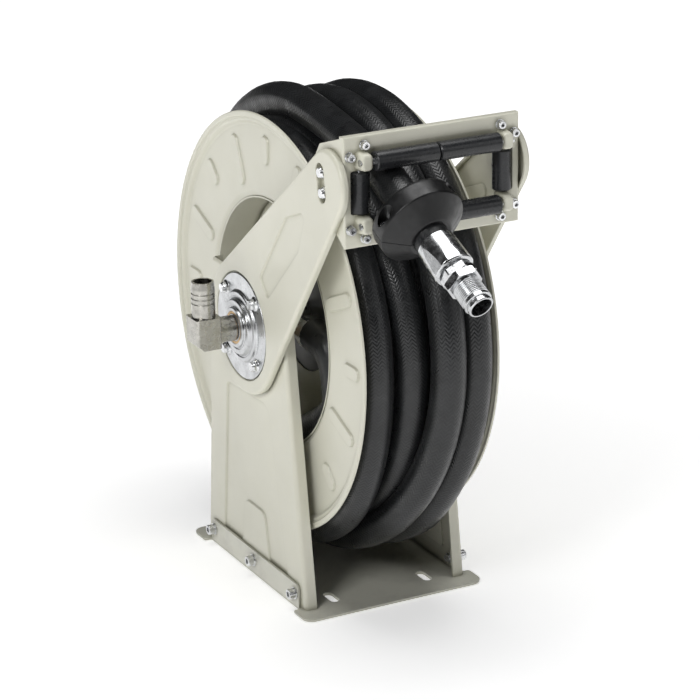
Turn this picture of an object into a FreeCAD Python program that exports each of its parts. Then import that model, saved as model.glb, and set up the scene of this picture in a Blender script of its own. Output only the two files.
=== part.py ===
"""Spring-return hose reel: a drum of 32 mm hose between two pressed pedestals, with a roller guide.

Frame: millimetres, +Z up, X along the drum axle with the water inlet at -X, hose outlet towards -Y.
The origin is the centre of the base plate's underside, straight below the axle.
"""
import FreeCAD, Part
import Sketcher
import math
import os
from FreeCAD import Placement, Rotation, Vector

DIMENSIONS = [
    ("axle_height", 329, "axle centre above the floor"),
    ("metal", 3, "thickness of the pressed sheet"),
    ("base_thickness", 4, "base plate"),
    ("base_depth", 327, "base plate along Y"),
    ("base_width", 245, "base plate along X, over the corner lobes"),
    ("base_body", 226.4, "base plate along X, between the lobes"),
    ("strip_top", 33, "height of the upturned side strips"),
    ("strip_length", 248, "length of the side strips"),
    ("slot_x", 64.5, "floor slots, from the centre"),
    ("slot_y", 115, "floor slots, from the centre"),
    ("slot_long", 30, "floor slot, end to end"),
    ("slot_wide", 12, "floor slot width"),
    ("base_bolt_pitch", 114.4, "bolts along a side strip"),
    ("base_bolt_z", 20.2, "height of those bolts"),
    ("clear_eight", 4.5, "radius of a hole for an M8 bolt"),
    ("clear_six", 3.4, "radius of a hole for an M6 bolt"),
    ("pedestal_face", 110, "outer plane of a pedestal, from the centre"),
    ("pedestal_depth", 15.5, "pedestal face to the edge of its returned sides"),
    ("pedestal_top", 388, "top of the pedestals"),
    ("boss_height", 5, "raised seat for the arm"),
    ("boss_radius", 68, "raised seat for the arm"),
    ("panel_step", 2.2, "depth of pressed panels"),
    ("arm_face", 121, "outer plane of an arm, from the centre"),
    ("arm_depth", 8.4, "arm face to the edge of its returned rim"),
    ("arm_root_radius", 85, "rounded end about the axle"),
    ("arm_tip_radius", 40, "rounded end at the guide"),
    ("arm_tip_y", -232, "centre of the arm's tip"),
    ("arm_tip_z", 563, "centre of the arm's tip"),
    ("hub_radius", 65.8, "bearing flange"),
    ("hub_pitch_radius", 55, "bolts of the bearing flange"),
    ("hub_bore", 20, "radius of the bearing flange's bore"),
    ("hub_spigot", 32.6, "radius of the spigot behind the bearing flange"),
    ("hub_end", 131.5, "outer end of the bearing flange's collar"),
    ("axle_radius", 17, "drum axle and spring arbor"),
    ("axle_bore", 12.7, "water way in the drum axle"),
    ("running_gap", 0.06, "radial clearance of a running fit"),
    ("rim_radius", 257.5, "drum flange"),
    ("flange_inside", 80, "inner plane of a drum flange, from the centre"),
    ("rim_plane", 89.3, "outer plane of a drum flange's rim"),
    ("sheet", 2, "thickness of the drum's sheet"),
    ("core_radius", 153, "drum core, outside"),
    ("rib_width", 18, "pressed ribs of a drum flange"),
    ("case_radius", 145, "spring case, outside"),
    ("hose_radius", 21, "hose, outside"),
    ("coil_radius", 284, "outside of the wound hose"),
    ("coil_width", 153.2, "width of the wound hose"),
    ("guide_front", 259.3, "front plane of the guide plate, from the axle"),
    ("guide_width", 225, "guide plate along X"),
    ("guide_low", 493, "lower edge of the guide plate"),
    ("guide_high", 621.5, "upper edge of the guide plate"),
    ("guide_sheet", 2.5, "thickness of the guide plate"),
    ("guide_mid", 557, "height of the roller window's centre"),
    ("roller_radius", 11, "guide rollers"),
    ("roller_pin", 4, "radius of a roller pin"),
    ("long_roller", 79.2, "length of a horizontal roller"),
    ("short_roller", 48, "length of a vertical roller"),
    ("row_y", 270, "horizontal roller axes in front of the axle"),
    ("row_z", 36.5, "horizontal roller axes from the window's centre"),
    ("side_x", 91, "vertical roller axes from the centre"),
    ("side_y", 257, "vertical roller axes in front of the axle"),
    ("stop_radius", 51.5, "hose stop"),
    ("stop_band", 25.2, "hose stop, thickness of its rim"),
    ("stop_length", 44, "hose stop, rear face to collar"),
    ("ferrule_long", 44, "hose ferrule"),
    ("thread_radius", 16.6, "outlet thread, G 1"),
    ("ratchet_tip", 58, "ratchet wheel, tooth tips"),
    ("ratchet_root", 52, "ratchet wheel, tooth roots"),
]

doc = FreeCAD.newDocument("hose_reel")
sheet = doc.addObject("Spreadsheet::Sheet", "Dims")
for row, (alias, value, note) in enumerate(DIMENSIONS, start=1):
    sheet.set("A%d" % row, note)
    sheet.set("B%d" % row, str(value))
    sheet.setAlias("B%d" % row, alias)
doc.recompute()
D = {alias: float(sheet.get(alias)) for alias, _, _ in DIMENSIONS}
H = D["axle_height"]
PARTS = []
LEFT, RIGHT = -1, 1
SIDES = {"left": LEFT, "right": RIGHT}


# ---- helpers ---------------------------------------------------------------------------------

def keep(obj, label):
    """Marks obj as a sub-part with that name."""
    obj.Label = label
    PARTS.append(obj)
    return obj


def new_body(label, at=(0, 0, 0), rotation=None, on_axle=False):
    body = keep(doc.addObject("PartDesign::Body", "body_" + label), label)
    body.Placement = Placement(Vector(*at), rotation or Rotation())
    if on_axle:
        body.setExpression("Placement.Base.z", "Dims.axle_height")
    return body


def sketch_on(body, role, offset=None):
    """A sketch on one of the body's own origin planes, moved along its normal by an expression."""
    sketch = body.newObject("Sketcher::SketchObject", body.Label + "_sketch")
    plane = [f for f in body.Origin.OriginFeatures if f.Role == role][0]
    sketch.AttachmentSupport = [(plane, "")]
    sketch.MapMode = "FlatFace"
    if offset is not None:
        sketch.setExpression("AttachmentOffset.Base.z", offset)
    return sketch


def rounded(points, radii):
    """Lines and tangent arcs of a closed outline whose corners have the given radii."""
    corners = [Vector(x, y, 0) for x, y in points]
    count = len(corners)
    cuts = []
    for i, corner in enumerate(corners):
        radius = radii[i] if isinstance(radii, (list, tuple)) else radii
        if radius == 0:
            cuts.append((corner, corner, corner, 0))
            continue
        to_last = (corners[i - 1] - corner).normalize()
        to_next = (corners[(i + 1) % count] - corner).normalize()
        half = to_last.getAngle(to_next) / 2
        reach = radius / math.tan(half)
        middle = (to_last + to_next).normalize()
        nearest = corner + middle * (radius / math.sin(half) - radius)
        cuts.append((corner + to_last * reach, nearest, corner + to_next * reach, radius))
    edges = []
    for i, (start, nearest, end, radius) in enumerate(cuts):
        if radius > 0:
            edges.append(Part.Arc(start, nearest, end))
        following = cuts[(i + 1) % count][0]
        if (following - end).Length > 1e-6:
            edges.append(Part.LineSegment(end, following))
    return edges


def draw(sketch, points, radii=0):
    for edge in rounded(points, radii):
        sketch.addGeometry(edge, False)
    return sketch


def circle(sketch, radius, centre=(0, 0)):
    """A circle whose radius is an expression, held at a fixed centre."""
    index = sketch.addGeometry(Part.Circle(Vector(centre[0], centre[1], 0), Vector(0, 0, 1), 10), False)
    for kind, value in (("DistanceX", centre[0]), ("DistanceY", centre[1])):
        if abs(value) > 1e-9:
            sketch.addConstraint(Sketcher.Constraint(kind, -1, 1, index, 3, value))
        else:
            axis = -2 if kind == "DistanceX" else -1
            sketch.addConstraint(Sketcher.Constraint("PointOnObject", index, 3, axis))
    number = sketch.addConstraint(Sketcher.Constraint("Radius", index, 10))
    sketch.setExpression("Constraints[%d]" % number, radius)
    return sketch


def slot(sketch, centre, length, width, angle=0):
    """A straight slot with round ends; length is end to end and angle is that of its long axis."""
    along = Vector(math.cos(math.radians(angle)), math.sin(math.radians(angle)), 0)
    across = Vector(-along.y, along.x, 0) * (width / 2)
    middle = Vector(centre[0], centre[1], 0)
    first, last = middle - along * (length - width) / 2, middle + along * (length - width) / 2
    sketch.addGeometry(Part.LineSegment(first + across, last + across), False)
    sketch.addGeometry(Part.Arc(last + across, last + along * width / 2, last - across), False)
    sketch.addGeometry(Part.LineSegment(last - across, first - across), False)
    sketch.addGeometry(Part.Arc(first - across, first - along * width / 2, first + across), False)
    return sketch


def pad(sketch, length, flipped=False, taper=0):
    body = sketch.getParentGeoFeatureGroup()
    feature = body.newObject("PartDesign::Pad", body.Label + "_pad")
    feature.Profile = sketch
    feature.setExpression("Length", length)
    feature.Reversed = flipped
    feature.TaperAngle = taper
    return feature


def pocket(sketch, length=None, flipped=False, both=False, taper=0):
    """Cuts the sketch's outline away, length deep, or right through when no length is given."""
    body = sketch.getParentGeoFeatureGroup()
    feature = body.newObject("PartDesign::Pocket", body.Label + "_pocket")
    feature.Profile = sketch
    if length is None:
        feature.Type = "ThroughAll"
    else:
        feature.setExpression("Length", length)
    feature.Midplane = both
    feature.Reversed = flipped
    feature.TaperAngle = taper
    return feature


def revolve(sketch, axis="H_Axis"):
    body = sketch.getParentGeoFeatureGroup()
    feature = body.newObject("PartDesign::Revolution", body.Label + "_revolution")
    feature.Profile = sketch
    feature.ReferenceAxis = (sketch, [axis])
    feature.Angle = 360
    return feature


def fillet(body, feature, radius, test):
    """Rounds the edges of a feature whose mid point passes the test."""
    doc.recompute()
    names = []
    for number, edge in enumerate(feature.Shape.Edges, start=1):
        middle = edge.valueAt((edge.FirstParameter + edge.LastParameter) / 2)
        if test(edge, middle):
            names.append("Edge%d" % number)
    rounding = body.newObject("PartDesign::Fillet", body.Label + "_fillet")
    rounding.Base = (feature, names)
    rounding.Radius = radius
    doc.recompute()
    return rounding


def revolved_body(label, profile, radii=0, at=None, rotation=None, axis="H_Axis"):
    """A turned piece: its profile is (distance along the axis, radius) pairs."""
    body = new_body(label, at or (0, 0, 0), rotation, on_axle=at is None)
    revolve(draw(sketch_on(body, "XY_Plane"), profile, radii), axis)
    return body


def solid_feature(shape, label, at=None):
    """A piece that only Part's own functions can make; its place is set after its shape."""
    feature = keep(doc.addObject("Part::Feature", label), label)
    feature.Shape = shape
    if at is not None:
        feature.Placement = at
    return feature


def on_axle(*shapes):
    """Shapes drawn about the axle, lifted to its height."""
    return [s.translated(Vector(0, 0, H)) for s in shapes]


# ---- frame: base, pedestals, arms ------------------------------------------------------------

def base_plate():
    body = new_body("base_plate")
    lobe, side = D["base_width"] / 2, D["base_body"] / 2
    end, notch = D["base_depth"] / 2, D["strip_length"] / 2 + 2.5
    outline = [(lobe, end), (lobe, notch), (side, notch), (side, -notch), (lobe, -notch), (lobe, -end)]
    outline += [(-x, y) for x, y in reversed(outline)]
    corner = [14, 4, 2, 2, 4, 14]
    pad(draw(sketch_on(body, "XY_Plane"), outline, corner + corner), "Dims.base_thickness")
    half = D["strip_length"] / 2
    for side_sign in SIDES.values():
        strip = sketch_on(body, "YZ_Plane", "%d * Dims.base_body / 2" % side_sign)
        draw(strip, [(-half, 0), (-half, D["strip_top"]), (half, D["strip_top"]), (half, 0)], [0, 9, 9, 0])
        pad(strip, "Dims.metal", flipped=side_sign > 0)
    doc.recompute()
    outer = D["base_body"] / 2
    fillet(body, body.Tip, 2.6, lambda e, m: e.Length > 200 and abs(abs(m.x) - outer) < 0.1 and m.z < 0.1)
    holes = sketch_on(body, "XY_Plane")
    for x in (-D["slot_x"], D["slot_x"]):
        for y in (-D["slot_y"], D["slot_y"]):
            slot(holes, (x, y), D["slot_long"], D["slot_wide"], 90)
    pocket(holes, both=True)
    bolts = sketch_on(body, "YZ_Plane")
    for y in base_bolt_places():
        circle(bolts, "Dims.clear_eight", (y, D["base_bolt_z"]))
    pocket(bolts, both=True)


def base_bolt_places():
    return [-D["base_bolt_pitch"], 0, D["base_bolt_pitch"]]


def hub_bolt_places():
    """Offsets from the axle of the four bolts of a bearing flange."""
    reach = D["hub_pitch_radius"] * math.cos(math.radians(45))
    return [(y * reach, z * reach) for y in (-1, 1) for z in (-1, 1)]


def pedestal(side):
    """Pressed channel: a face with both sides returned inwards, a sunk panel and a raised arm seat."""
    body = new_body(side + "_pedestal")
    sign = SIDES[side]
    inward, outward = sign > 0, sign < 0
    low, top, metal = D["base_thickness"], D["pedestal_top"], D["metal"]
    face = [(-137, low), (-84.5, top), (104.5, top), (139, low)]
    outer = sketch_on(body, "YZ_Plane", "%d * Dims.pedestal_face" % sign)
    first = pad(draw(outer, face, [0, 5, 5, 0]), "Dims.pedestal_depth", inward)
    plane = D["pedestal_face"]
    fillet(body, first, 5.5, lambda e, m: e.Length > 300 and abs(abs(m.x) - plane) < 0.1)
    inner = sketch_on(body, "YZ_Plane", "%d * (Dims.pedestal_face - Dims.pedestal_depth)" % sign)
    inset = [(-137 + metal, low - 6), (-84.5 + metal, top + 6), (104.5 - metal, top + 6), (139 - metal, low - 6)]
    pocket(draw(inner, inset), "Dims.pedestal_depth - Dims.metal", inward)
    seat = sketch_on(body, "YZ_Plane", "%d * (Dims.pedestal_face - Dims.metal)" % sign)
    pad(circle(seat, "Dims.boss_radius", (0, H)), "Dims.metal + Dims.boss_height", outward)
    hollow = sketch_on(body, "YZ_Plane", "%d * (Dims.pedestal_face - Dims.metal)" % sign)
    pocket(circle(hollow, "Dims.boss_radius - Dims.metal", (0, H)), "Dims.boss_height", inward)
    panel = [(92, 26), (70, 236), (-48, 240), (-91, 26), (-38, 26), (-26, 92), (26, 92), (38, 26)]
    turns = [4, 8, 20, 4, 3, 12, 12, 3]
    backing = sketch_on(body, "YZ_Plane", "%d * (Dims.pedestal_face - Dims.metal)" % sign)
    pad(draw(backing, panel, turns), "Dims.panel_step", inward)
    sunk = sketch_on(body, "YZ_Plane", "%d * Dims.pedestal_face" % sign)
    pocket(draw(sunk, panel, turns), "Dims.panel_step", outward, taper=-40)
    holes = sketch_on(body, "YZ_Plane")
    circle(holes, "Dims.hub_spigot + 0.4", (0, H))
    for y, z in hub_bolt_places():
        circle(holes, "Dims.clear_eight", (y, H + z))
    for y in base_bolt_places():
        circle(holes, "Dims.clear_eight", (y, D["base_bolt_z"]))
    if side == "right":
        circle(holes, "4.05", PAWL_PIVOT)
    pocket(holes, both=True)


PAWL_PIVOT = (59.4, H - 59.4)


def arm_outline(inset):
    """Two circles about the axle and the tip, joined by their outer tangents."""
    root, tip = Vector(0, H, 0), Vector(D["arm_tip_y"], D["arm_tip_z"], 0)
    big, small = D["arm_root_radius"] - inset, D["arm_tip_radius"] - inset
    along = (tip - root).normalize()
    across = Vector(-along.y, along.x, 0)
    lean = (big - small) / (tip - root).Length
    level = math.sqrt(1 - lean * lean)
    one, other = along * lean + across * level, along * lean - across * level
    return [
        Part.LineSegment(root + one * big, tip + one * small),
        Part.Arc(tip + one * small, tip + along * small, tip + other * small),
        Part.LineSegment(tip + other * small, root + other * big),
        Part.Arc(root + other * big, root - along * big, root + one * big),
    ]


TIP_SLOT = (-219.4, 562)
TIP_SLOT_ANGLE = 81
TIP_BOLTS = [(-217.6, 573.5), (-221.2, 550.5)]


def arm(side):
    """Pressed guide arm with its rim returned inwards, a seat for the bearing flange and a sunk chevron."""
    body = new_body(side + "_arm")
    sign = SIDES[side]
    inward, outward = sign > 0, sign < 0
    plane = D["arm_face"]
    outer = sketch_on(body, "YZ_Plane", "%d * Dims.arm_face" % sign)
    for edge in arm_outline(0):
        outer.addGeometry(edge, False)
    first = pad(outer, "Dims.arm_depth", inward)
    fillet(body, first, 4.5, lambda e, m: abs(abs(m.x) - plane) < 0.1)
    inner = sketch_on(body, "YZ_Plane", "%d * (Dims.arm_face - Dims.arm_depth)" % sign)
    for edge in arm_outline(D["metal"]):
        inner.addGeometry(edge, False)
    pocket(inner, "Dims.arm_depth - Dims.metal", inward)
    back = "%d * (Dims.arm_face - Dims.metal)" % sign
    seat = sketch_on(body, "YZ_Plane", back)
    pad(circle(seat, "Dims.hub_radius + 4.5", (0, H)), "Dims.metal", inward)
    tip = sketch_on(body, "YZ_Plane", back)
    pad(slot(tip, TIP_SLOT, 51, 24, TIP_SLOT_ANGLE), "5.5", inward)
    chevron = [(-183, 520), (-128, 499), (-54, 406), (-74, 382), (-160, 465)]
    turns = [8, 10, 8, 8, 12]
    backing = sketch_on(body, "YZ_Plane", back)
    pad(draw(backing, chevron, turns), "Dims.panel_step", inward)
    face = "%d * Dims.arm_face" % sign
    dish = sketch_on(body, "YZ_Plane", face)
    pocket(circle(dish, "Dims.hub_radius + 1.2", (0, H)), "Dims.metal", outward)
    sunk = sketch_on(body, "YZ_Plane", face)
    pocket(slot(sunk, TIP_SLOT, 45, 18, TIP_SLOT_ANGLE), "6", outward)
    pressed = sketch_on(body, "YZ_Plane", face)
    pocket(draw(pressed, chevron, turns), "Dims.panel_step", outward, taper=-40)
    doc.recompute()
    rims = (D["hub_radius"] + 1.2, 9.0)

    def on_a_rim(edge, middle):
        if abs(abs(middle.x) - plane) > 0.1:
            return False
        from_axle = math.hypot(middle.y, middle.z - H)
        from_slot = math.hypot(middle.y - TIP_SLOT[0], middle.z - TIP_SLOT[1])
        return abs(from_axle - rims[0]) < 0.2 or from_slot < 23.5

    fillet(body, body.Tip, 1.6, on_a_rim)
    holes = sketch_on(body, "YZ_Plane")
    circle(holes, "Dims.hub_spigot + 0.4", (0, H))
    for y, z in hub_bolt_places():
        circle(holes, "Dims.clear_eight", (y, H + z))
    for place in TIP_BOLTS:
        circle(holes, "Dims.clear_eight", place)
    pocket(holes, both=True)


# ---- bearings --------------------------------------------------------------------------------

def hub_flange(side):
    """Stepped bearing flange whose collar carries the bush or the arbor."""
    sign = SIDES[side]
    rim, spigot, bore, end = D["hub_radius"], D["hub_spigot"], D["hub_bore"], D["hub_end"]
    seat, face = D["arm_face"] - D["metal"], D["arm_face"]
    profile = [
        (104, bore), (104, spigot), (seat, spigot), (seat, rim), (face, rim), (face, 44.8), (124.5, 43),
        (124.5, 38.5), (122.8, 36.5), (128.6, 33.5), (128.6, 27.5), (126.4, 25.4), (end, 24.5), (end, bore),
    ]
    body = new_body(side + "_hub_flange", on_axle=True)
    corners = [0, 0.8, 0, 0, 1.2, 2.5, 1.6, 1.6, 1.2, 2.2, 1.6, 1.2, 1.4, 0.6]
    revolve(draw(sketch_on(body, "XY_Plane"), [(sign * x, r) for x, r in profile], corners))
    holes = sketch_on(body, "YZ_Plane")
    for y, z in hub_bolt_places():
        circle(holes, "Dims.clear_eight", (y, z))
    pocket(holes, both=True)


def axle_bush():
    """Flanged bush in the left bearing flange, in which the drum's axle turns."""
    inner, outer = D["axle_radius"] + D["running_gap"], D["hub_bore"]
    profile = [(-131, inner), (-131, outer), (-104, outer), (-104, 25), (-101, 25), (-101, inner)]
    revolved_body("left_bearing", profile, [0.5, 0, 0, 0.5, 0.5, 0.5])


def spring_arbor():
    """Fixed stub shaft in the right bearing flange; it holds the mainspring's inner end."""
    shaft = D["axle_radius"]
    profile = [(-24, 0), (-24, shaft), (103.6, shaft), (103.6, D["hub_bore"] - 0.05),
               (134, D["hub_bore"] - 0.05), (134, 0)]
    body = revolved_body("spring_arbor", profile, [0, 1.5, 0, 0, 1.5, 0])
    flats = sketch_on(body, "YZ_Plane", "128")
    draw(flats, [(-3, -25), (-3, 25), (3, 25), (3, -25)])
    pocket(flats, "8", flipped=True)


# ---- drum ------------------------------------------------------------------------------------

def drum_core():
    """Rolled tube between the flanges, with a passage for the feed hose."""
    ring = doc.addObject("Part::Cylinder", "core_outside")
    ring.setExpression("Radius", "Dims.core_radius")
    ring.setExpression("Height", "2 * Dims.flange_inside")
    hole = doc.addObject("Part::Cylinder", "core_inside")
    hole.setExpression("Radius", "Dims.core_radius - Dims.sheet")
    hole.setExpression("Height", "2 * Dims.flange_inside")
    tube = doc.addObject("Part::Cut", "core_tube")
    tube.Base, tube.Tool = ring, hole
    tube.Placement = Placement(Vector(-D["flange_inside"], 0, H), Rotation(Vector(0, 1, 0), 90))
    passage = doc.addObject("Part::Feature", "core_passage")
    passage.Shape = feed_tube(D["hose_radius"] + 0.8)
    part = doc.addObject("Part::Cut", "core")
    part.Base, part.Tool = tube, passage
    keep(part, "drum_core")


def drum_flange(side):
    """Pressed flange with a lipped rim, sixteen ribs and a rolled inner edge."""
    sign = SIDES[side]
    inside, thick, rim = D["flange_inside"], D["sheet"], D["rim_radius"]
    plane, core = D["rim_plane"], D["core_radius"]
    out = inside + thick
    profile = [
        (inside - 3, core + 0.1), (inside, core + 5), (inside, 243.5), (84.6, 246.5), (84.6, 251.5),
        (plane - 3.4, 253.6), (plane - 3.4, rim), (plane, rim), (plane, 251.4), (84.6 + thick, 249.2),
        (84.6 + thick, 246), (out, 241.5), (out, core + 6), (out - 3, core + 0.1),
    ]
    corners = [0.3, 3, 4, 2, 1.2, 1.2, 1.2, 1.2, 1.6, 1, 3, 3, 5, 0.3]
    body = new_body(side + "_flange", on_axle=True)
    revolve(draw(sketch_on(body, "XY_Plane"), [(sign * x, r) for x, r in profile], corners))
    doc.recompute()
    step = 22.5
    for inner_end, outer_end, phase in ((168, 232, 1), (195, 232, 0)):
        rib = sketch_on(body, "YZ_Plane", "%d * (Dims.flange_inside + Dims.sheet)" % sign)
        angle = 180 + step * phase
        middle = (inner_end + outer_end) / 2
        where = (middle * math.cos(math.radians(angle)), middle * math.sin(math.radians(angle)))
        slot(rib, where, outer_end - inner_end, D["rib_width"], angle)
        boss = pad(rib, "2.4", flipped=sign < 0, taper=-35)
        pattern = body.newObject("PartDesign::PolarPattern", body.Label + "_ribs")
        pattern.Originals = [boss]
        pattern.Axis = (sketch_on(body, "YZ_Plane"), ["N_Axis"])
        pattern.Angle = 360
        pattern.Occurrences = 8
        body.Tip = pattern
        doc.recompute()


def drum_web():
    """Ring plate that joins the core to the spring case on the inlet side."""
    thick, core = D["sheet"], D["core_radius"] - D["sheet"] - 0.1
    profile = [(-36.6, 70), (-36.6, core), (-26, core), (-26, core - thick), (-34.6, core - thick), (-34.6, 70)]
    revolved_body("drum_web", profile, [0.5, 2.5, 0.5, 0.5, 0.5, 0.5])


def drum_axle():
    """Hollow axle that carries the water from the swivel to the feed fitting."""
    shaft, bore = D["axle_radius"], D["axle_bore"]
    profile = [(-131.2, bore), (-131.2, shaft), (-28, shaft), (-28, 0), (-40, 0), (-40, bore)]
    body = revolved_body("drum_axle", profile, [0.6, 1, 1, 0, 0, 3])
    port = sketch_on(body, "XZ_Plane")
    circle(port, "10", (FEED_X, 0))
    pocket(port, "25", flipped=True)


FEED_X = -58
FEED_ROUTE = [(-73, 0), (-112, 0), (-140, -101)]
FEED_BEND = 50


def feed_tube(radius):
    """Solid round bar along the feed hose's line: straight, one bend, straight."""
    start, corner, end = [Vector(FEED_X, y, H + z) for y, z in FEED_ROUTE]
    back, on = (start - corner).normalize(), (end - corner).normalize()
    half = back.getAngle(on) / 2
    reach = FEED_BEND / math.tan(half)
    middle = (back + on).normalize()
    nearest = corner + middle * (FEED_BEND / math.sin(half) - FEED_BEND)
    first, last = corner + back * reach, corner + on * reach
    path = Part.Wire([
        Part.LineSegment(start, first).toShape(),
        Part.Arc(first, nearest, last).toShape(),
        Part.LineSegment(last, end).toShape(),
    ])
    section = Part.Wire([Part.Circle(start, first - start, radius).toShape()])
    return path.makePipeShell([section], True, False)


def feed_parts():
    """Hex fitting screwed into the axle, and the short hose from it to the core's passage."""
    hose = doc.addObject("Part::Feature", "feed_bar")
    hose.Shape = feed_tube(D["hose_radius"])
    limit = doc.addObject("Part::Cylinder", "feed_limit")
    limit.setExpression("Radius", "Dims.core_radius + 0.1")
    limit.Height = 160
    limit.Placement = Placement(Vector(-80, 0, H), Rotation(Vector(0, 1, 0), 90))
    common = doc.addObject("Part::Common", "feed_common")
    common.Base, common.Tool = hose, limit
    keep(common, "feed_hose")
    stem = doc.addObject("Part::Cylinder", "feed_stem")
    stem.Radius, stem.Height = 9.9, 40
    stem.Placement = Placement(Vector(FEED_X, -14, H), Rotation(Vector(1, 0, 0), 90))
    nut = doc.addObject("Part::Prism", "feed_nut")
    nut.Polygon, nut.Circumradius, nut.Height = 6, 21, 20
    nut.Placement = Placement(Vector(FEED_X, -53, H), Rotation(Vector(1, 0, 0), 90))
    body = doc.addObject("Part::Fuse", "feed_body")
    body.Base, body.Tool = stem, nut
    way = doc.addObject("Part::Cylinder", "feed_way")
    way.Radius, way.Height = 7.5, 80
    way.Placement = Placement(Vector(FEED_X, -8, H), Rotation(Vector(1, 0, 0), 90))
    part = doc.addObject("Part::Cut", "feed_cut")
    part.Base, part.Tool = body, way
    keep(part, "feed_fitting")


def spring_case():
    """Deep pan that holds the mainspring, closed by a cover that turns on the arbor."""
    outer, wall = D["case_radius"], 3
    hole = D["axle_radius"] + 0.1
    profile = [
        (-34.5, hole), (-34.5, outer), (64, outer), (64, outer - wall), (-31, outer - wall), (-31, 34),
        (-31, hole),
    ]
    revolved_body("spring_case", profile, [0, 5, 0.6, 0.6, 2.5, 0, 0])
    bush = D["axle_radius"] + 6
    core = D["core_radius"] - D["sheet"] - 0.1
    cover = [(64.2, bush), (64.2, core), (70, core), (70, core - 3), (67.2, core - 6), (67.2, 34),
             (84, 31), (84, bush)]
    revolved_body("spring_case_cover", cover, [0, 0.6, 0.6, 0.6, 3, 4, 1.5, 0])
    inner = D["axle_radius"] + D["running_gap"]
    profile = [(58, inner), (58, 27), (61, 27), (61, bush - 0.1), (83.5, bush - 0.1), (83.5, inner)]
    revolved_body("right_bearing", profile, [0.5, 0.5, 0.5, 0, 0.5, 0.5])


def mainspring():
    """Flat spiral spring: half turns of strip whose centre swaps sides, so each joins the next smoothly."""
    strip, pitch, turns = 1.6, 8.64, 14
    low, high = -26, 52
    radius, centre = 19.0, 0.0
    inner, outer = [], []
    for half_turn in range(2 * turns):
        up = 1 if half_turn % 2 == 0 else -1
        for edges, extra in ((inner, 0), (outer, strip)):
            reach = radius + extra
            edges.append(Part.Arc(
                Vector(low, centre - up * reach, 0),
                Vector(low, centre, up * reach),
                Vector(low, centre + up * reach, 0),
            ).toShape())
        radius += pitch / 2
        centre -= up * pitch / 2
    ends = [
        Part.LineSegment(inner[0].Vertexes[0].Point, outer[0].Vertexes[0].Point).toShape(),
        Part.LineSegment(inner[-1].Vertexes[-1].Point, outer[-1].Vertexes[-1].Point).toShape(),
    ]
    outline = Part.Wire(Part.__sortEdges__(inner + outer + ends))
    band = Part.Face(outline).extrude(Vector(high - low, 0, 0))
    solid_feature(on_axle(band)[0], "mainspring")


def ratchet_wheel():
    body = new_body("ratchet_wheel", on_axle=True)
    wheel = sketch_on(body, "YZ_Plane", "84.4")
    teeth, face_angle = 12, -16.5
    tip, root = D["ratchet_tip"], D["ratchet_root"]
    corners = []
    for tooth in range(teeth):
        angle = math.radians(face_angle + tooth * 360 / teeth)
        corners += [Vector(r * math.cos(angle), r * math.sin(angle), 0) for r in (root, tip)]
    for i, corner in enumerate(corners):
        wheel.addGeometry(Part.LineSegment(corner, corners[(i + 1) % len(corners)]), False)
    circle(wheel, "24")
    pad(wheel, "5")
    holes = sketch_on(body, "YZ_Plane")
    for quarter in range(4):
        angle = math.radians(45 + 90 * quarter)
        circle(holes, "8", (38 * math.cos(angle), 38 * math.sin(angle)))
    pocket(holes, both=True)


def hose_winding():
    """Outer shape of the wound hose."""
    turns = doc.addObject("Part::Cylinder", "coil_outside")
    turns.setExpression("Radius", "Dims.coil_radius")
    turns.setExpression("Height", "Dims.coil_width")
    turns.Placement = Placement(Vector(0, 0, 0), Rotation(Vector(0, 1, 0), 90))
    turns.setExpression("Placement.Base.x", "-Dims.coil_width / 2")
    turns.setExpression("Placement.Base.z", "Dims.axle_height")
    middle = doc.addObject("Part::Cylinder", "coil_inside")
    middle.setExpression("Radius", "Dims.core_radius + 0.3")
    middle.setExpression("Height", "Dims.coil_width")
    middle.Placement = Placement(Vector(0, 0, 0), Rotation(Vector(0, 1, 0), 90))
    middle.setExpression("Placement.Base.x", "-Dims.coil_width / 2")
    middle.setExpression("Placement.Base.z", "Dims.axle_height")
    part = doc.addObject("Part::Cut", "coil")
    part.Base, part.Tool = turns, middle
    keep(part, "hose_winding")


# ---- pawl ------------------------------------------------------------------------------------

def pawl_parts():
    body = new_body("pawl")
    blade = sketch_on(body, "YZ_Plane", "84.2")
    y, z = PAWL_PIVOT
    outline = [(y - 8, z - 9), (y + 9, z - 9), (y + 9, z + 14), (y + 9.5, z + 42), (y + 4.2, z + 41),
               (y - 2, z + 26), (y - 8, z + 12)]
    draw(blade, outline, [6, 6, 8, 1, 1, 10, 5])
    circle(blade, "5.06", PAWL_PIVOT)
    pad(blade, "5")
    pin = [(82, 0), (82, 8), (83.8, 8), (83.8, 5), (90, 5), (90, 9), (106.9, 9), (106.9, 4), (112, 4), (112, 0)]
    revolved_body("pawl_pivot", pin, [0, 0.8, 0, 0, 0, 1, 0, 0, 0.5, 0], at=(0, y, z))
    pitch, height, radius, wire = 2.1, 12, 10.4, 0.8
    coil = Part.Wire(Part.makeLongHelix(pitch, height, radius).Edges)
    lean = math.atan2(pitch, 2 * math.pi * radius)
    along = Vector(0, math.cos(lean), math.sin(lean))
    section = Part.Wire([Part.Circle(Vector(radius, 0, 0), along, wire).toShape()])
    spring = coil.makePipeShell([section], True, True)
    length = height / math.sin(lean)
    print("pawl spring volume ratio %.3f" % (spring.Volume / (math.pi * wire ** 2 * length)))
    solid_feature(spring, "pawl_spring", Placement(Vector(92, y, z), Rotation(Vector(0, 1, 0), 90)))


# ---- inlet -----------------------------------------------------------------------------------

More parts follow.
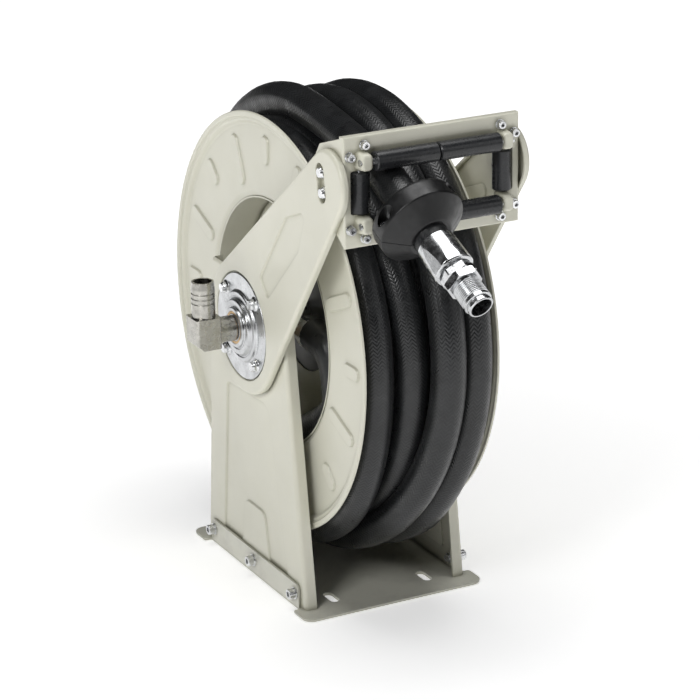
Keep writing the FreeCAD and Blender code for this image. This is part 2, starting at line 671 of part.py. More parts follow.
def inlet_elbow():
    """Forged elbow: a spigot that swivels in the axle, a square body and a barbed hose tail."""
    body = new_body("inlet_elbow", on_axle=True)
    spigot, half = D["axle_bore"] - D["running_gap"], 16.5
    far, near = -186.5, -153.5
    groove = 10.3
    neck = [(-112, 0), (-112, spigot), (-116.6, spigot), (-116.6, groove), (-119.4, groove), (-119.4, spigot),
            (-123.6, spigot), (-123.6, groove), (-126.4, groove), (-126.4, spigot), (-131.9, spigot),
            (-131.9, 15.6), (-165, 15.6), (-165, 0)]
    revolve(draw(sketch_on(body, "XY_Plane"), neck, [0, 1.2] + [0] * 9 + [1, 0, 0]))
    block = sketch_on(body, "XY_Plane", "-18")
    draw(block, [(far, -half), (far, half), (near, half), (near, -half)], 3.2)
    pad(block, "39")
    bevel = sketch_on(body, "XZ_Plane")
    pocket(draw(bevel, [(far - 5, -20), (far - 5, -5), (far + 11, -20)]), "60", both=True)
    barb = sketch_on(body, "XZ_Plane")
    centre = -170
    top, root = 65, 13.2
    tail = [(0, 10), (14.3, 10), (14.3, 38)]
    for ring in range(3):
        at = 38 + ring * 6.2
        tail += [(root, at + 0.4), (root, at + 1.4), (14.3, at + 1.8), (14.3, at + 6.2)]
    tail += [(13.4, top), (0, top)]
    for a, b in zip(tail, tail[1:] + tail[:1]):
        barb.addGeometry(Part.LineSegment(Vector(centre + a[0], a[1], 0), Vector(centre + b[0], b[1], 0)), False)
    barb.addGeometry(Part.LineSegment(Vector(centre, 0, 0), Vector(centre, 80, 0)), True)
    feature = body.newObject("PartDesign::Revolution", "barb")
    feature.Profile = barb
    feature.ReferenceAxis = (barb, ["Axis0"])
    feature.Angle = 360
    down = sketch_on(body, "XY_Plane", "70")
    circle(down, "11", (centre, 0))
    pocket(down, "70")
    across = sketch_on(body, "YZ_Plane", "-105")
    circle(across, "8.5")
    pocket(across, "65")


def inlet_seals():
    """Two O-rings in the spigot's grooves."""
    rings = []
    for x in (-118, -125):
        rings.append(Part.makeTorus(11.35, 1.0, Vector(x, 0, 0), Vector(1, 0, 0)))
    solid_feature(Part.makeCompound(on_axle(*rings)), "inlet_seals")


# ---- roller guide ----------------------------------------------------------------------------

def guide_box():
    """Front plate with a cross-shaped window, domed corners for the pins, a top lip and side ears."""
    body = new_body("guide_box")
    low, high, mid = D["guide_low"], D["guide_high"], D["guide_mid"]
    half = D["guide_width"] / 2
    front = sketch_on(body, "XZ_Plane", "Dims.guide_front")
    draw(front, [(-half, low), (-half, high), (half, high), (half, low)])
    pad(front, "Dims.guide_sheet", flipped=True)
    lip = sketch_on(body, "YZ_Plane")
    face, thick = -D["guide_front"], D["guide_sheet"]
    draw(lip, [(face, high), (face + 9, high), (face + 9, high - thick), (face, high - thick)])
    lips = pad(lip, "Dims.guide_width")
    lips.Midplane = True
    ear_outline = [(face, high), (-203, 603), (-192, 588), (-186, 562), (-196, 538), (face, low)]
    for sign in SIDES.values():
        ear = sketch_on(body, "YZ_Plane", "%d * Dims.guide_width / 2" % sign)
        draw(ear, ear_outline, [0, 6, 10, 10, 8, 0])
        pad(ear, "Dims.guide_sheet", flipped=sign > 0)
    doc.recompute()
    depth = D["guide_front"]
    fillet(body, body.Tip, 2.2, lambda e, m: e.Length > 100 and abs(m.y + depth) < 0.1)
    for x in (-D["side_x"], D["side_x"]):
        for z in (mid - D["row_z"], mid + D["row_z"]):
            dome = sketch_on(body, "XZ_Plane", "Dims.guide_front - 1")
            middle = x - math.copysign(1, x)
            wide, tall = 9.4, 11.5
            draw(dome, [(middle - wide, z - tall), (middle - wide, z + tall), (middle + wide, z + tall),
                        (middle + wide, z - tall)], 7.5)
            pad(dome, "17", taper=-8)
    fillet(body, body.Tip, 4, lambda e, m: m.y < -depth - 15.5)
    window = sketch_on(body, "XZ_Plane")
    wide, tall, slim, short = 104, 25, 79.8, 43
    cross = [(-wide, -tall), (-wide, tall), (-slim, tall), (-slim, short), (slim, short), (slim, tall),
             (wide, tall), (wide, -tall), (slim, -tall), (slim, -short), (-slim, -short), (-slim, -tall)]
    pocket(draw(window, [(x, mid + z) for x, z in cross], [3, 3, 0, 3, 3, 0, 3, 3, 0, 3, 3, 0]), both=True)
    bolts = sketch_on(body, "XZ_Plane")
    for x, z in guide_bolt_places():
        circle(bolts, "Dims.clear_six", (x, z))
    pocket(bolts, both=True)
    tips = sketch_on(body, "YZ_Plane")
    for place in TIP_BOLTS:
        circle(tips, "Dims.clear_eight", place)
    pocket(tips, both=True)
    rows = sketch_on(body, "YZ_Plane")
    for z in (mid - D["row_z"], mid + D["row_z"]):
        circle(rows, "Dims.roller_pin + 0.05", (-D["row_y"], z))
    pocket(rows, "198", both=True)
    columns = sketch_on(body, "XY_Plane", "Dims.guide_mid")
    for x in (-D["side_x"], D["side_x"]):
        circle(columns, "Dims.roller_pin + 0.05", (x, -D["side_y"]))
    pocket(columns, "92", both=True)


def guide_bolt_places():
    places = []
    for x in (-1, 1):
        places += [(x * 87, 610.8), (x * 105.2, 599), (x * 87, 503.2), (x * 105.2, 515)]
    return places


def corner_clamps():
    """Four L-shaped plates behind the guide's corners; they trap the ends of the roller pins."""
    mid, back = D["guide_mid"], -D["guide_front"] + D["guide_sheet"] + 0.1
    plates = []
    for sx in (-1, 1):
        for sz in (-1, 1):
            outline = [(80, 48.5), (96, 48.5), (96, 30), (109.3, 30), (109.3, 60), (80, 60)]
            edges = [e.toShape() for e in rounded([(sx * x, sz * z) for x, z in outline], [2, 0, 2, 2, 5, 2])]
            plate = Part.Face(Part.Wire(Part.__sortEdges__(edges))).extrude(Vector(0, 0, 2.5))
            plate.Placement = Placement(Vector(0, back + 2.5, mid), Rotation(Vector(1, 0, 0), 90))
            plates.append(plate)
    whole = Part.makeCompound(plates)
    for x, z in guide_bolt_places():
        drill = Part.makeCylinder(D["clear_six"], 20, Vector(x, back + 10, z), Vector(0, -1, 0))
        whole = whole.cut(drill)
    for x in (-D["side_x"], D["side_x"]):
        pin = Part.makeCylinder(D["roller_pin"] + 0.3, 96, Vector(x, -D["side_y"], mid - 48), Vector(0, 0, 1))
        whole = whole.cut(pin)
    solid_feature(whole, "corner_clamps")


def roller(label, length, at, upright):
    """Plastic roller with chamfered ends, bored for its pin."""
    outer, bore, half, cut = D["roller_radius"], D["roller_pin"] + D["running_gap"], length / 2, 1.4
    profile = [(-half, bore), (-half, outer - cut), (-half + cut, outer), (half - cut, outer),
               (half, outer - cut), (half, bore)]
    turn = Rotation(Vector(0, 1, 0), 90) if upright else Rotation()
    revolved_body(label, profile, at=at, rotation=turn)


def rollers():
    mid, row, up = D["guide_mid"], -D["row_y"], D["row_z"]
    centre = D["long_roller"] / 2 + 0.6
    for level, z in (("top", mid + up), ("bottom", mid - up)):
        for side, sign in SIDES.items():
            roller("%s_%s_roller" % (level, side), D["long_roller"], (sign * centre, row, z), False)
    for side, sign in SIDES.items():
        roller("%s_side_roller" % side, D["short_roller"], (sign * D["side_x"], -D["side_y"], mid), True)
    pins = []
    for z in (mid - up, mid + up):
        pins.append(Part.makeCylinder(D["roller_pin"], 196, Vector(-98, row, z), Vector(1, 0, 0)))
    for x in (-D["side_x"], D["side_x"]):
        pins.append(Part.makeCylinder(D["roller_pin"], 90, Vector(x, -D["side_y"], mid - 45), Vector(0, 0, 1)))
    solid_feature(Part.makeCompound(pins), "roller_pins")


# ---- fasteners -------------------------------------------------------------------------------

def hexagon(flats, height, turn=0):
    """Hexagonal bar along +Z with a corner at 'turn' degrees from X."""
    corner = flats / 2 / math.cos(math.radians(30))
    angles = [math.radians(60 * i + turn) for i in range(6)]
    points = [Vector(corner * math.cos(angle), corner * math.sin(angle), 0) for angle in angles]
    return Part.Face(Part.makePolygon(points + points[:1])).extrude(Vector(0, 0, height))


def socket_bolt(size, reach):
    """Cap screw along -Z: the underside of its washer is at z = 0."""
    washer = Part.makeCylinder(size * 0.95, size * 0.2)
    head = Part.makeCylinder(size * 0.8, size, Vector(0, 0, size * 0.2))
    head = head.makeFillet(size * 0.1, [e for e in head.Edges if abs(e.BoundBox.ZMin - size * 1.2) < 1e-3
                                        and abs(e.BoundBox.ZMax - size * 1.2) < 1e-3])
    key = hexagon(size * 0.8, size).translated(Vector(0, 0, size * 0.7))
    shank = Part.makeCylinder(size / 2, reach + 0.1, Vector(0, 0, -reach))
    return washer.fuse(head).fuse(shank).cut(key).removeSplitter()


def flange_bolt(size, reach, spread=1.15):
    """Hex bolt with a round flange under its head."""
    flange = Part.makeCone(size * spread, size * 0.85, size * 0.3)
    head = hexagon(size * 1.6, size * 0.75).translated(Vector(0, 0, size * 0.2))
    crown = Part.makeCone(size * 1.15, size * 0.62, size * 0.98)
    shank = Part.makeCylinder(size / 2, reach + 0.1, Vector(0, 0, -reach))
    return flange.fuse(head.common(crown.translated(Vector(0, 0, size * 0.02)))).fuse(shank).removeSplitter()


def flange_nut(size, height, reach=1.05, flats=1.6, turn=0):
    """Hex nut with a round flange, its bearing face at z = 0 and the rest below."""
    body = hexagon(size * flats, height, turn).translated(Vector(0, 0, -height))
    flange = Part.makeCylinder(size * reach, size * 0.22, Vector(0, 0, -size * 0.22))
    return body.fuse(flange).cut(Part.makeCylinder(size / 2 + 0.02, 3 * height, Vector(0, 0, -2 * height)))


def group(label, piece, places):
    """One node of identical separate fasteners: places holds (point, direction of the piece's +Z)."""
    pieces = []
    for point, direction in places:
        copy = piece.copy()
        copy.Placement = Placement(Vector(*point), Rotation(Vector(0, 0, 1), Vector(*direction)))
        pieces.append(copy)
    solid_feature(Part.makeCompound(pieces), label)


def fasteners():
    strip = D["base_body"] / 2
    base = [((s * strip, y, D["base_bolt_z"]), (s, 0, 0)) for s in (-1, 1) for y in base_bolt_places()]
    group("base_bolts", socket_bolt(8, 17), base)
    behind = D["pedestal_face"] - D["metal"]
    nuts = [((s * behind, y, D["base_bolt_z"]), (s, 0, 0)) for s in (-1, 1) for y in base_bolt_places()]
    group("base_nuts", flange_nut(8, 7), nuts)
    hub = [((s * D["arm_face"], y, H + z), (s, 0, 0)) for s in (-1, 1) for y, z in hub_bolt_places()]
    group("hub_bolts", flange_bolt(8, 19), hub)
    inside = D["pedestal_face"] + D["boss_height"] - D["metal"]
    hub_nuts = [((s * inside, y, H + z), (s, 0, 0)) for s in (-1, 1) for y, z in hub_bolt_places()]
    group("hub_nuts", flange_nut(8, 7), hub_nuts)
    tip = D["arm_face"] - 6
    tips = [((s * tip, y, z), (s, 0, 0)) for s in (-1, 1) for y, z in TIP_BOLTS]
    group("arm_tip_bolts", flange_bolt(8, 14, 1.04), tips)
    ear = D["guide_width"] / 2 - D["guide_sheet"]
    inner = [((s * ear, y, z), (s, 0, 0)) for s in (-1, 1) for y, z in TIP_BOLTS]
    group("arm_tip_nuts", flange_nut(8, 7), inner)
    front = -D["guide_front"]
    group("guide_bolts", socket_bolt(6, 11), [((x, front, z), (0, -1, 0)) for x, z in guide_bolt_places()])
    back = front + D["guide_sheet"] + 2.65
    nut = flange_nut(6, 5, 0.74, 1.5, 30)
    group("guide_nuts", nut, [((x, back, z), (0, -1, 0)) for x, z in guide_bolt_places()])


# ---- hose end --------------------------------------------------------------------------------

OUTLET = Vector(-47.6, -350, 514.1)
OUTLET_DOWN, OUTLET_ASIDE = 29.2, 4.7
STOP_TURN = -14
STOP_BACK = -54.2


def outlet_axis():
    down, aside = math.radians(OUTLET_DOWN), math.radians(OUTLET_ASIDE)
    return Vector(math.sin(aside) * math.cos(down), -math.cos(aside) * math.cos(down), -math.sin(down))


def outlet_place(along):
    """Placement whose +X runs down the outlet, 'along' millimetres past the ferrule's mouth."""
    axis = outlet_axis()
    across = axis.cross(Vector(0, 0, 1)).normalize()
    above = across.cross(axis).normalize()
    turn = math.radians(STOP_TURN)
    up = above * math.cos(turn) - across * math.sin(turn)
    side = up.cross(axis)
    matrix = FreeCAD.Matrix(axis.x, side.x, up.x, 0, axis.y, side.y, up.y, 0, axis.z, side.z, up.z, 0, 0, 0, 0, 1)
    return Placement(OUTLET + axis * along, Placement(matrix).Rotation)


def hose_leg():
    """The hose from the coil through the rollers and the stop into its ferrule."""
    axis = outlet_axis()
    start, bend = Vector(-51, -226, 572.7), Vector(-53, -262, 561)
    entry, end = OUTLET - axis * 58, OUTLET + axis * 37
    points = [start, bend, entry, end]
    edges, last = [], start
    for before, corner, after in zip(points, points[1:], points[2:]):
        back, on = (before - corner).normalize(), (after - corner).normalize()
        half = back.getAngle(on) / 2
        reach = 0.45 * min((before - corner).Length, (after - corner).Length)
        radius = reach * math.tan(half)
        print("hose bend radius %.0f mm" % radius)
        nearest = corner + (back + on).normalize() * (radius / math.sin(half) - radius)
        first, second = corner + back * reach, corner + on * reach
        edges += [Part.LineSegment(last, first).toShape(), Part.Arc(first, nearest, second).toShape()]
        last = second
    edges.append(Part.LineSegment(last, end).toShape())
    path = Part.Wire(edges)
    radius, bore = D["hose_radius"], 16
    outside = path.makePipeShell([Part.Wire([Part.Circle(start, bend - start, radius).toShape()])], True, False)
    inside = path.makePipeShell([Part.Wire([Part.Circle(start, bend - start, bore).toShape()])], True, False)
    tube = outside.cut(inside)
    expected = math.pi * (radius ** 2 - bore ** 2) * path.Length
    print("hose leg %.0f mm long, volume ratio %.3f" % (path.Length, tube.Volume / expected))
    solid_feature(tube, "hose_leg")


def hose_stop():
    """Stop in two halves, clamped round the hose by two bolts: a round band with a conical front."""
    place = outlet_place(STOP_BACK)
    bore, rim, band, full = D["hose_radius"] + 0.05, D["stop_radius"], D["stop_band"], D["stop_length"]
    outline = [(0, bore), (0, rim - 5), (2.5, rim - 1), (6, rim), (band, rim), (full - 1, 27), (full, 25), (full, bore)]
    edges = [e.toShape() for e in rounded(outline, [0, 3, 3, 6, 2.6, 2, 0.8, 0])]
    face = Part.Face(Part.Wire(Part.__sortEdges__(edges)))
    disc = face.revolve(Vector(0, 0, 0), Vector(1, 0, 0), 360)
    middle, offset, seat = 13.5, 42, 7
    for y in (-offset, offset):
        disc = disc.cut(Part.makeCylinder(3.3, 120, Vector(middle, y, -60), Vector(0, 0, 1)))
        disc = disc.cut(Part.makeCylinder(7.6, 60, Vector(middle, y, seat), Vector(0, 0, 1)))
        disc = disc.cut(Part.makeCylinder(7, 60, Vector(middle, y, -seat), Vector(0, 0, -1)))
    reach = 60
    for name, low in (("stop_upper_half", 0.4), ("stop_lower_half", -0.4 - reach)):
        half = disc.common(Part.makeBox(80, 2 * reach, reach, Vector(-20, -reach, low)))
        half.Placement = place
        solid_feature(half, name, place)
    bolts = []
    for y in (-offset, offset):
        head = Part.makeCylinder(5, 6, Vector(middle, y, seat), Vector(0, 0, 1))
        key = hexagon(5, 4).translated(Vector(middle, y, seat + 3))
        shank = Part.makeCylinder(3, 2 * seat + 6, Vector(middle, y, -seat - 6), Vector(0, 0, 1))
        nut = hexagon(10, 5).translated(Vector(middle, y, -seat - 5))
        bolts.append(head.cut(key).fuse(shank).fuse(nut).removeSplitter())
    solid_feature(Part.makeCompound(bolts), "stop_bolts", place)


def turned(points, radii=0):
    """Solid of revolution about X from a closed outline of (x, radius) pairs."""
    edges = [e.toShape() for e in rounded(points, radii)]
    return Part.Face(Part.Wire(Part.__sortEdges__(edges))).revolve(Vector(0, 0, 0), Vector(1, 0, 0), 360)


def hex_bar(flats, start, length, turn):
    """Hexagonal bar along X, turned about it."""
    bar = hexagon(flats, length)
    bar.Placement = Placement(Vector(start, 0, 0), Rotation(Vector(0, 1, 0), 90))
    return bar.rotated(Vector(0, 0, 0), Vector(1, 0, 0), turn)


def outlet_fitting():
    """Ferrule with six flats, hose insert with a hexagon, and a nipple with the outlet thread."""
    place, long = outlet_place(0), D["ferrule_long"]
    blank = turned([(0, 0), (0, 21.8), (1, 22.4), (7, 22.7), (long - 9, 23.9), (long - 3, 23.9), (long - 1, 22.4),
                    (long, 19.5), (long, 0)], [0, 0, 0, 6, 3, 1, 1, 0, 0])
    lip = turned([(long - 3.4, 0), (long - 3.4, 22.2), (long - 2, 23.9), (long + 1, 23.9), (long + 1, 0)])
    blank = blank.common(hex_bar(45.4, -1, long, 34).fuse(lip))
    sleeve = blank.cut(Part.makeCylinder(D["hose_radius"] + 0.05, 38, Vector(0, 0, 0), Vector(1, 0, 0)))
    sleeve = sleeve.cut(Part.makeCylinder(15.3, 60, Vector(0, 0, 0), Vector(1, 0, 0)))
    solid_feature(sleeve, "hose_ferrule", place)
    tail = turned([(2, 12.5), (2, 15.8), (37.5, 15.8), (37.6, 15.2), (long + 3, 15.2), (long + 3, 18.4),
                   (long + 5, 18.4), (long + 5, 12.5)])
    hex_one = hex_bar(36.6, long + 2.5, 9.5, 48).common(turned([
        (0, 0), (0, 19.6), (long + 3.5, 20.6), (long + 10.5, 20.6), (long + 12, 19.2), (long + 12, 0)]))
    insert = tail.fuse(hex_one).cut(Part.makeCylinder(12.5, 80, Vector(0, 0, 0), Vector(1, 0, 0)))
    solid_feature(insert.removeSplitter(), "hose_insert", place)
    start = long + 12.2
    hex_two = hex_bar(38.4, start, 10, 25).common(turned([
        (start, 0), (start, 20.6), (start + 1, 21.8), (start + 8.6, 21.8), (start + 10, 20), (start + 10, 0)]))
    crest, root, pitch = D["thread_radius"], D["thread_radius"] - 1.2, 2.31
    thread = [(start + 9, 0), (start + 9, root), (start + 11.8, root)]
    for ridge in range(9):
        at = start + 11.8 + ridge * pitch
        thread += [(at + 0.9, crest), (at + 1.4, crest), (at + pitch, root)]
    end = start + 11.8 + 9 * pitch
    thread += [(end + 1.4, root), (end + 1.8, crest), (end + 4.6, crest), (end + 5.2, 15.4), (end + 5.6, 14.2),
               (end + 7.6, 14.2), (end + 8, 14.9), (end + 11, 14.9), (end + 11.8, 14.1), (end + 11.8, 0)]
    nipple = hex_two.fuse(turned(thread)).cut(Part.makeCylinder(12.5, 80, Vector(start - 1, 0, 0), Vector(1, 0, 0)))
    solid_feature(nipple.removeSplitter(), "outlet_nipple", place)


# ---- assembly --------------------------------------------------------------------------------

def build():
    base_plate()
    for side in SIDES:
        pedestal(side)
        arm(side)
        hub_flange(side)
        drum_flange(side)
    axle_bush()
    spring_arbor()
    drum_core()
    drum_web()
    drum_axle()
    feed_parts()
    spring_case()
    mainspring()
    ratchet_wheel()
    hose_winding()
    pawl_parts()
    inlet_elbow()
    inlet_seals()
    guide_box()
    corner_clamps()
    rollers()
    fasteners()
    hose_leg()
    hose_stop()
    outlet_fitting()


def write_parts():
    doc.recompute()
    failed = [o.Label for o in doc.Objects if "Invalid" in o.State or "Error" in o.State]
    if failed:
        raise SystemExit("failed objects: %s" % failed)
    os.makedirs("parts", exist_ok=True)
    for part in PARTS:
        if part.Shape.isNull() or not part.Shape.isValid():
            raise SystemExit("bad shape: " + part.Label)
        if not part.Shape.Solids:
            raise SystemExit("no solid in " + part.Label)
    for part in PARTS:
        part.Shape.exportStep("parts/%s.step" % part.Label)
    print("%d sub-parts written" % len(PARTS))


build()
write_parts()
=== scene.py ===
import bpy
import math
from mathutils import Matrix, Vector


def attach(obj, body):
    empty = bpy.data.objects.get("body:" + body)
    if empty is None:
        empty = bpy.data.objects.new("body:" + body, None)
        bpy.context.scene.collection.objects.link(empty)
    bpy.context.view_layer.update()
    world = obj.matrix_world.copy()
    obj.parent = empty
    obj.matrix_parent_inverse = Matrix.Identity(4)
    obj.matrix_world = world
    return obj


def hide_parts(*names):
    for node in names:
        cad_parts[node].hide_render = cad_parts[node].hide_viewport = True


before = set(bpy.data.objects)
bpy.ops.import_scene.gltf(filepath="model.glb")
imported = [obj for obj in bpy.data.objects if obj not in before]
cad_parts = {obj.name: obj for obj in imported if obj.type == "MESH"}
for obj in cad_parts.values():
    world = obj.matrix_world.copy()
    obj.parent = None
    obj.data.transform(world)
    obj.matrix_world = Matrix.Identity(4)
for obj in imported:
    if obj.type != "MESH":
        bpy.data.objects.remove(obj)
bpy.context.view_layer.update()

MM = 0.001
AXLE = 0.329            # height of the drum's axle above the floor, in metres
FULL_TURN = 2 * math.pi


# ---- camera and lamps ------------------------------------------------------------------------

VIEW_FROM = (-1.4859, -2.9192, 1.4257)
VIEW_ALONG = (0.43407, 0.83785, -0.33104)
VIEW_ROLL = math.radians(-0.942)
LENS = 144.96
SENSOR = 36
FARTHEST = 50           # metres

# Each lamp's name, place, aim, size and power in watts.
LAMPS = [
    ("key", (-2.1, -1.3, 1.9), (0, 0, 0.4), (1.0, 1.0), 31),
    ("fill", (2.2, -3.0, 1.8), (0, 0, 0.3), (1.0, 2.0), 10),
    ("top", (0.1, 0.0, 2.5), (0, 0, 0.3), (1.2, 1.8), 30),
]


def add_camera():
    """The view: seen from the inlet side, a little above, through a long lens."""
    forward = Vector(VIEW_ALONG).normalized()
    right = forward.cross(Vector((0, 0, 1))).normalized()
    above = right.cross(forward)
    cos, sin = math.cos(VIEW_ROLL), math.sin(VIEW_ROLL)
    right, above = right * cos + above * sin, above * cos - right * sin
    data = bpy.data.cameras.new("camera")
    data.lens = LENS
    data.sensor_width = SENSOR
    data.clip_end = FARTHEST
    obj = bpy.data.objects.new("camera", data)
    turn = Matrix((right, above, -forward)).transposed().to_4x4()
    obj.matrix_world = Matrix.Translation(VIEW_FROM) @ turn
    bpy.context.collection.objects.link(obj)
    bpy.context.scene.camera = obj


def add_lamp(name, place, aim, size, power):
    data = bpy.data.lights.new(name, "AREA")
    data.shape = "RECTANGLE"
    data.size, data.size_y = size
    data.energy = power
    obj = bpy.data.objects.new(name, data)
    direction = Vector(aim) - Vector(place)
    obj.rotation_euler = direction.to_track_quat("-Z", "Y").to_euler()
    obj.location = place
    bpy.context.collection.objects.link(obj)


# ---- materials -------------------------------------------------------------------------------

# Numbered sockets of the Mix node that carry colours.
MIX_FIRST, MIX_SECOND, MIX_RESULT = 6, 7, 2

BEVEL_SAMPLES = 4
# Ambient occlusion samples, and the strength of the painted shade at its darkest in creases.
CREASE_SAMPLES = 6
CREASE_SHADE_DEPTH = 0.75


def shade(colour, factor, lift=0.0):
    """A darker or paler version of a colour."""
    return [min(1, c * factor + lift) for c in colour]


class Shader:
    """A material under construction: one principled shader and the nodes that feed it."""

    def __init__(self, name, colour, roughness, metallic=0.0, **sockets):
        self.material = bpy.data.materials.new(name)
        self.material.use_nodes = True
        self.tree = self.material.node_tree
        self.shader = self.tree.nodes["Principled BSDF"]
        self.shader.inputs["Base Color"].default_value = (*colour, 1)
        self.shader.inputs["Roughness"].default_value = roughness
        self.shader.inputs["Metallic"].default_value = metallic
        for socket, value in sockets.items():
            self.shader.inputs[socket.replace("_", " ")].default_value = value
        self.where = self.tree.nodes.new("ShaderNodeTexCoord").outputs["Object"]
        self.normal = None

    def node(self, kind, props=None, **inputs):
        """A new node. An input is given by its name, or as i0, i1 and so on by its number."""
        made = self.tree.nodes.new("ShaderNode" + kind)
        for key, value in (props or {}).items():
            setattr(made, key, value)
        for key, value in inputs.items():
            numbered = key[0] == "i" and key[1:].isdigit()
            socket = made.inputs[int(key[1:]) if numbered else key.replace("_", " ")]
            if isinstance(value, bpy.types.NodeSocket):
                self.tree.links.new(value, socket)
            else:
                socket.default_value = value
        return made

    def noise(self, scale, detail=3.0, stretch=None, roughness=0.5):
        place = self.where
        if stretch is not None:
            place = self.node("Mapping", Vector=place, Scale=stretch).outputs[0]
        made = self.node("TexNoise", Vector=place, Scale=scale, Detail=detail,
                         Roughness=roughness)
        return made.outputs[0]

    def ramp(self, value, low, high, to_low=0.0, to_high=1.0):
        made = self.node("MapRange", {"clamp": True}, i0=value, i1=low, i2=high,
                         i3=to_low, i4=to_high)
        return made.outputs[0]

    def math(self, operation, first, second=0.0):
        return self.node("Math", {"operation": operation}, i0=first, i1=second).outputs[0]

    def times(self, first, second):
        return self.math("MULTIPLY", first, second)

    def mix(self, amount, first, second):
        made = self.node("Mix", {"data_type": "RGBA"}, i0=amount)
        for index, value in ((MIX_FIRST, first), (MIX_SECOND, second)):
            if isinstance(value, bpy.types.NodeSocket):
                self.tree.links.new(value, made.inputs[index])
            else:
                made.inputs[index].default_value = (*value, 1)
        return made.outputs[MIX_RESULT]

    def feed(self, socket, value):
        self.tree.links.new(value, self.shader.inputs[socket])

    def bump(self, height, distance, strength):
        made = self.node("Bump", Height=height, Distance=distance, Strength=strength)
        if self.normal is not None:
            self.tree.links.new(self.normal, made.inputs["Normal"])
        self.normal = made.outputs[0]
        self.feed("Normal", self.normal)

    def soften(self, radius):
        """Rounds hard edges in the shading."""
        bevel = self.node("Bevel", {"samples": BEVEL_SAMPLES}, Radius=radius)
        self.normal = bevel.outputs[0]
        self.feed("Normal", self.normal)

    def edges(self, radius):
        """1 along hard edges, 0 on faces."""
        bevel = self.node("Bevel", {"samples": BEVEL_SAMPLES}, Radius=radius)
        flat = self.node("NewGeometry").outputs["Normal"]
        dot = self.node("VectorMath", {"operation": "DOT_PRODUCT"}, i0=bevel.outputs[0],
                        i1=flat).outputs["Value"]
        return self.ramp(self.math("SUBTRACT", 1.0, dot), 0.02, 0.25)

    def painted_crease_shade(self, reach):
        """Painted shade: most in inner corners, none in the open."""
        opened = self.node("AmbientOcclusion", {"samples": CREASE_SAMPLES},
                           Distance=reach).outputs["AO"]
        return self.ramp(opened, 0.55, 0.97, CREASE_SHADE_DEPTH, 0.0)


def powder_coat(name, colour, dust=0.0):
    """Semi-gloss coat: orange peel, tone drift, rubbed edges, painted shade in creases, specks and
    floor dust.
    """
    dust_colour = (0.42, 0.40, 0.36)
    # The colour of the painted shade in inner corners and recesses.
    crease_shade_colour = [c * c * 0.62 for c in colour]
    peel_height, dent_height = 0.00006, 0.0004
    made = Shader(name, colour, 0.36, Coat_Weight=0.22, Coat_Roughness=0.18)
    made.soften(1.2 * MM)
    drift = made.ramp(made.noise(7.0), 0.3, 0.7)
    tone = made.mix(drift, shade(colour, 0.955), shade(colour, 1.03))
    rubbed = made.ramp(made.noise(60.0, 4.0), 0.52, 0.7, to_high=0.55)
    rubbed = made.times(made.edges(1.6 * MM), rubbed)
    tone = made.mix(rubbed, tone, shade(colour, 0.72))
    # Painted shade: the coat is darkened in inner corners and recesses.
    tone = made.mix(made.painted_crease_shade(7 * MM), tone, crease_shade_colour)
    specks = made.ramp(made.noise(900.0, 1.0), 0.73, 0.78, to_high=0.35 + dust)
    tone = made.mix(specks, tone, shade(colour, 0.5))
    if dust:
        patches = made.ramp(made.noise(22.0, 5.0, roughness=0.65), 0.48, 0.72)
        tone = made.mix(made.times(patches, dust), tone, dust_colour)
    made.feed("Base Color", tone)
    dull = 0.44 + dust * 0.2
    made.feed("Roughness", made.ramp(made.noise(38.0, 4.0), 0.3, 0.7, 0.30, dull))
    made.bump(made.noise(520.0, 2.0), peel_height, 0.35)
    made.bump(made.noise(24.0, 2.0), dent_height, 0.10)
    return made.material


def plated(name, colour, rough, grain, streak=(1, 1, 1), pits=0.0):
    """Plated or turned metal with machining grain, handling marks and stains."""
    grain_height, pit_height = 0.0001, 0.0005
    made = Shader(name, colour, rough, metallic=1.0)
    made.soften(0.5 * MM)
    cloud = made.ramp(made.noise(55.0, 4.0), 0.32, 0.7)
    tone = made.mix(cloud, shade(colour, 0.78), shade(colour, 1.05))
    stain = made.times(made.ramp(made.noise(190.0, 5.0), 0.56, 0.72), 0.45)
    tone = made.mix(stain, tone, shade(colour, 0.5))
    made.feed("Base Color", tone)
    brushed = made.noise(140.0, 4.0, stretch=streak)
    made.feed("Roughness", made.ramp(brushed, 0.3, 0.72, rough * 0.7, rough * 1.6))
    made.bump(made.noise(grain, stretch=streak), grain_height, 0.30)
    if pits:
        made.bump(made.noise(420.0), pit_height, pits)
    return made.material


def moulded(name, colour, rough):
    """Satin moulded plastic: fine grain, paler scuffs and rubbed edges."""
    grain_height = 0.00012
    made = Shader(name, colour, rough, Specular_IOR_Level=0.42)
    made.soften(0.8 * MM)
    scuff = made.times(made.ramp(made.noise(70.0, 5.0), 0.56, 0.76), 0.2)
    tone = made.mix(scuff, colour, shade(colour, 2.6, 0.015))
    rubbed = made.times(made.edges(1.2 * MM), 0.45)
    tone = made.mix(rubbed, tone, shade(colour, 3, 0.02))
    made.feed("Base Color", tone)
    grain = made.noise(120.0, 4.0)
    made.feed("Roughness", made.ramp(grain, 0.3, 0.7, rough * 0.8, rough * 1.25))
    made.bump(made.noise(1500.0, 2.0), grain_height, 0.35)
    return made.material


HOSE_COLOUR = (0.0080, 0.0086, 0.0095)
STRAND_COLOUR = (0.030, 0.032, 0.032)
LAP_COLOUR = (0.04, 0.041, 0.043)
HOSE_DUST = (0.12, 0.12, 0.116)
WEAVE_COLUMNS = 14      # herringbone columns around the hose
WEAVE_PITCH = 0.0042    # metres from one row to the next
WEAVE_SLANT = 7.0       # radians that a row slants across half a column
LAP_PITCH = 0.062       # metres from one turn of the cloth wrap to the next


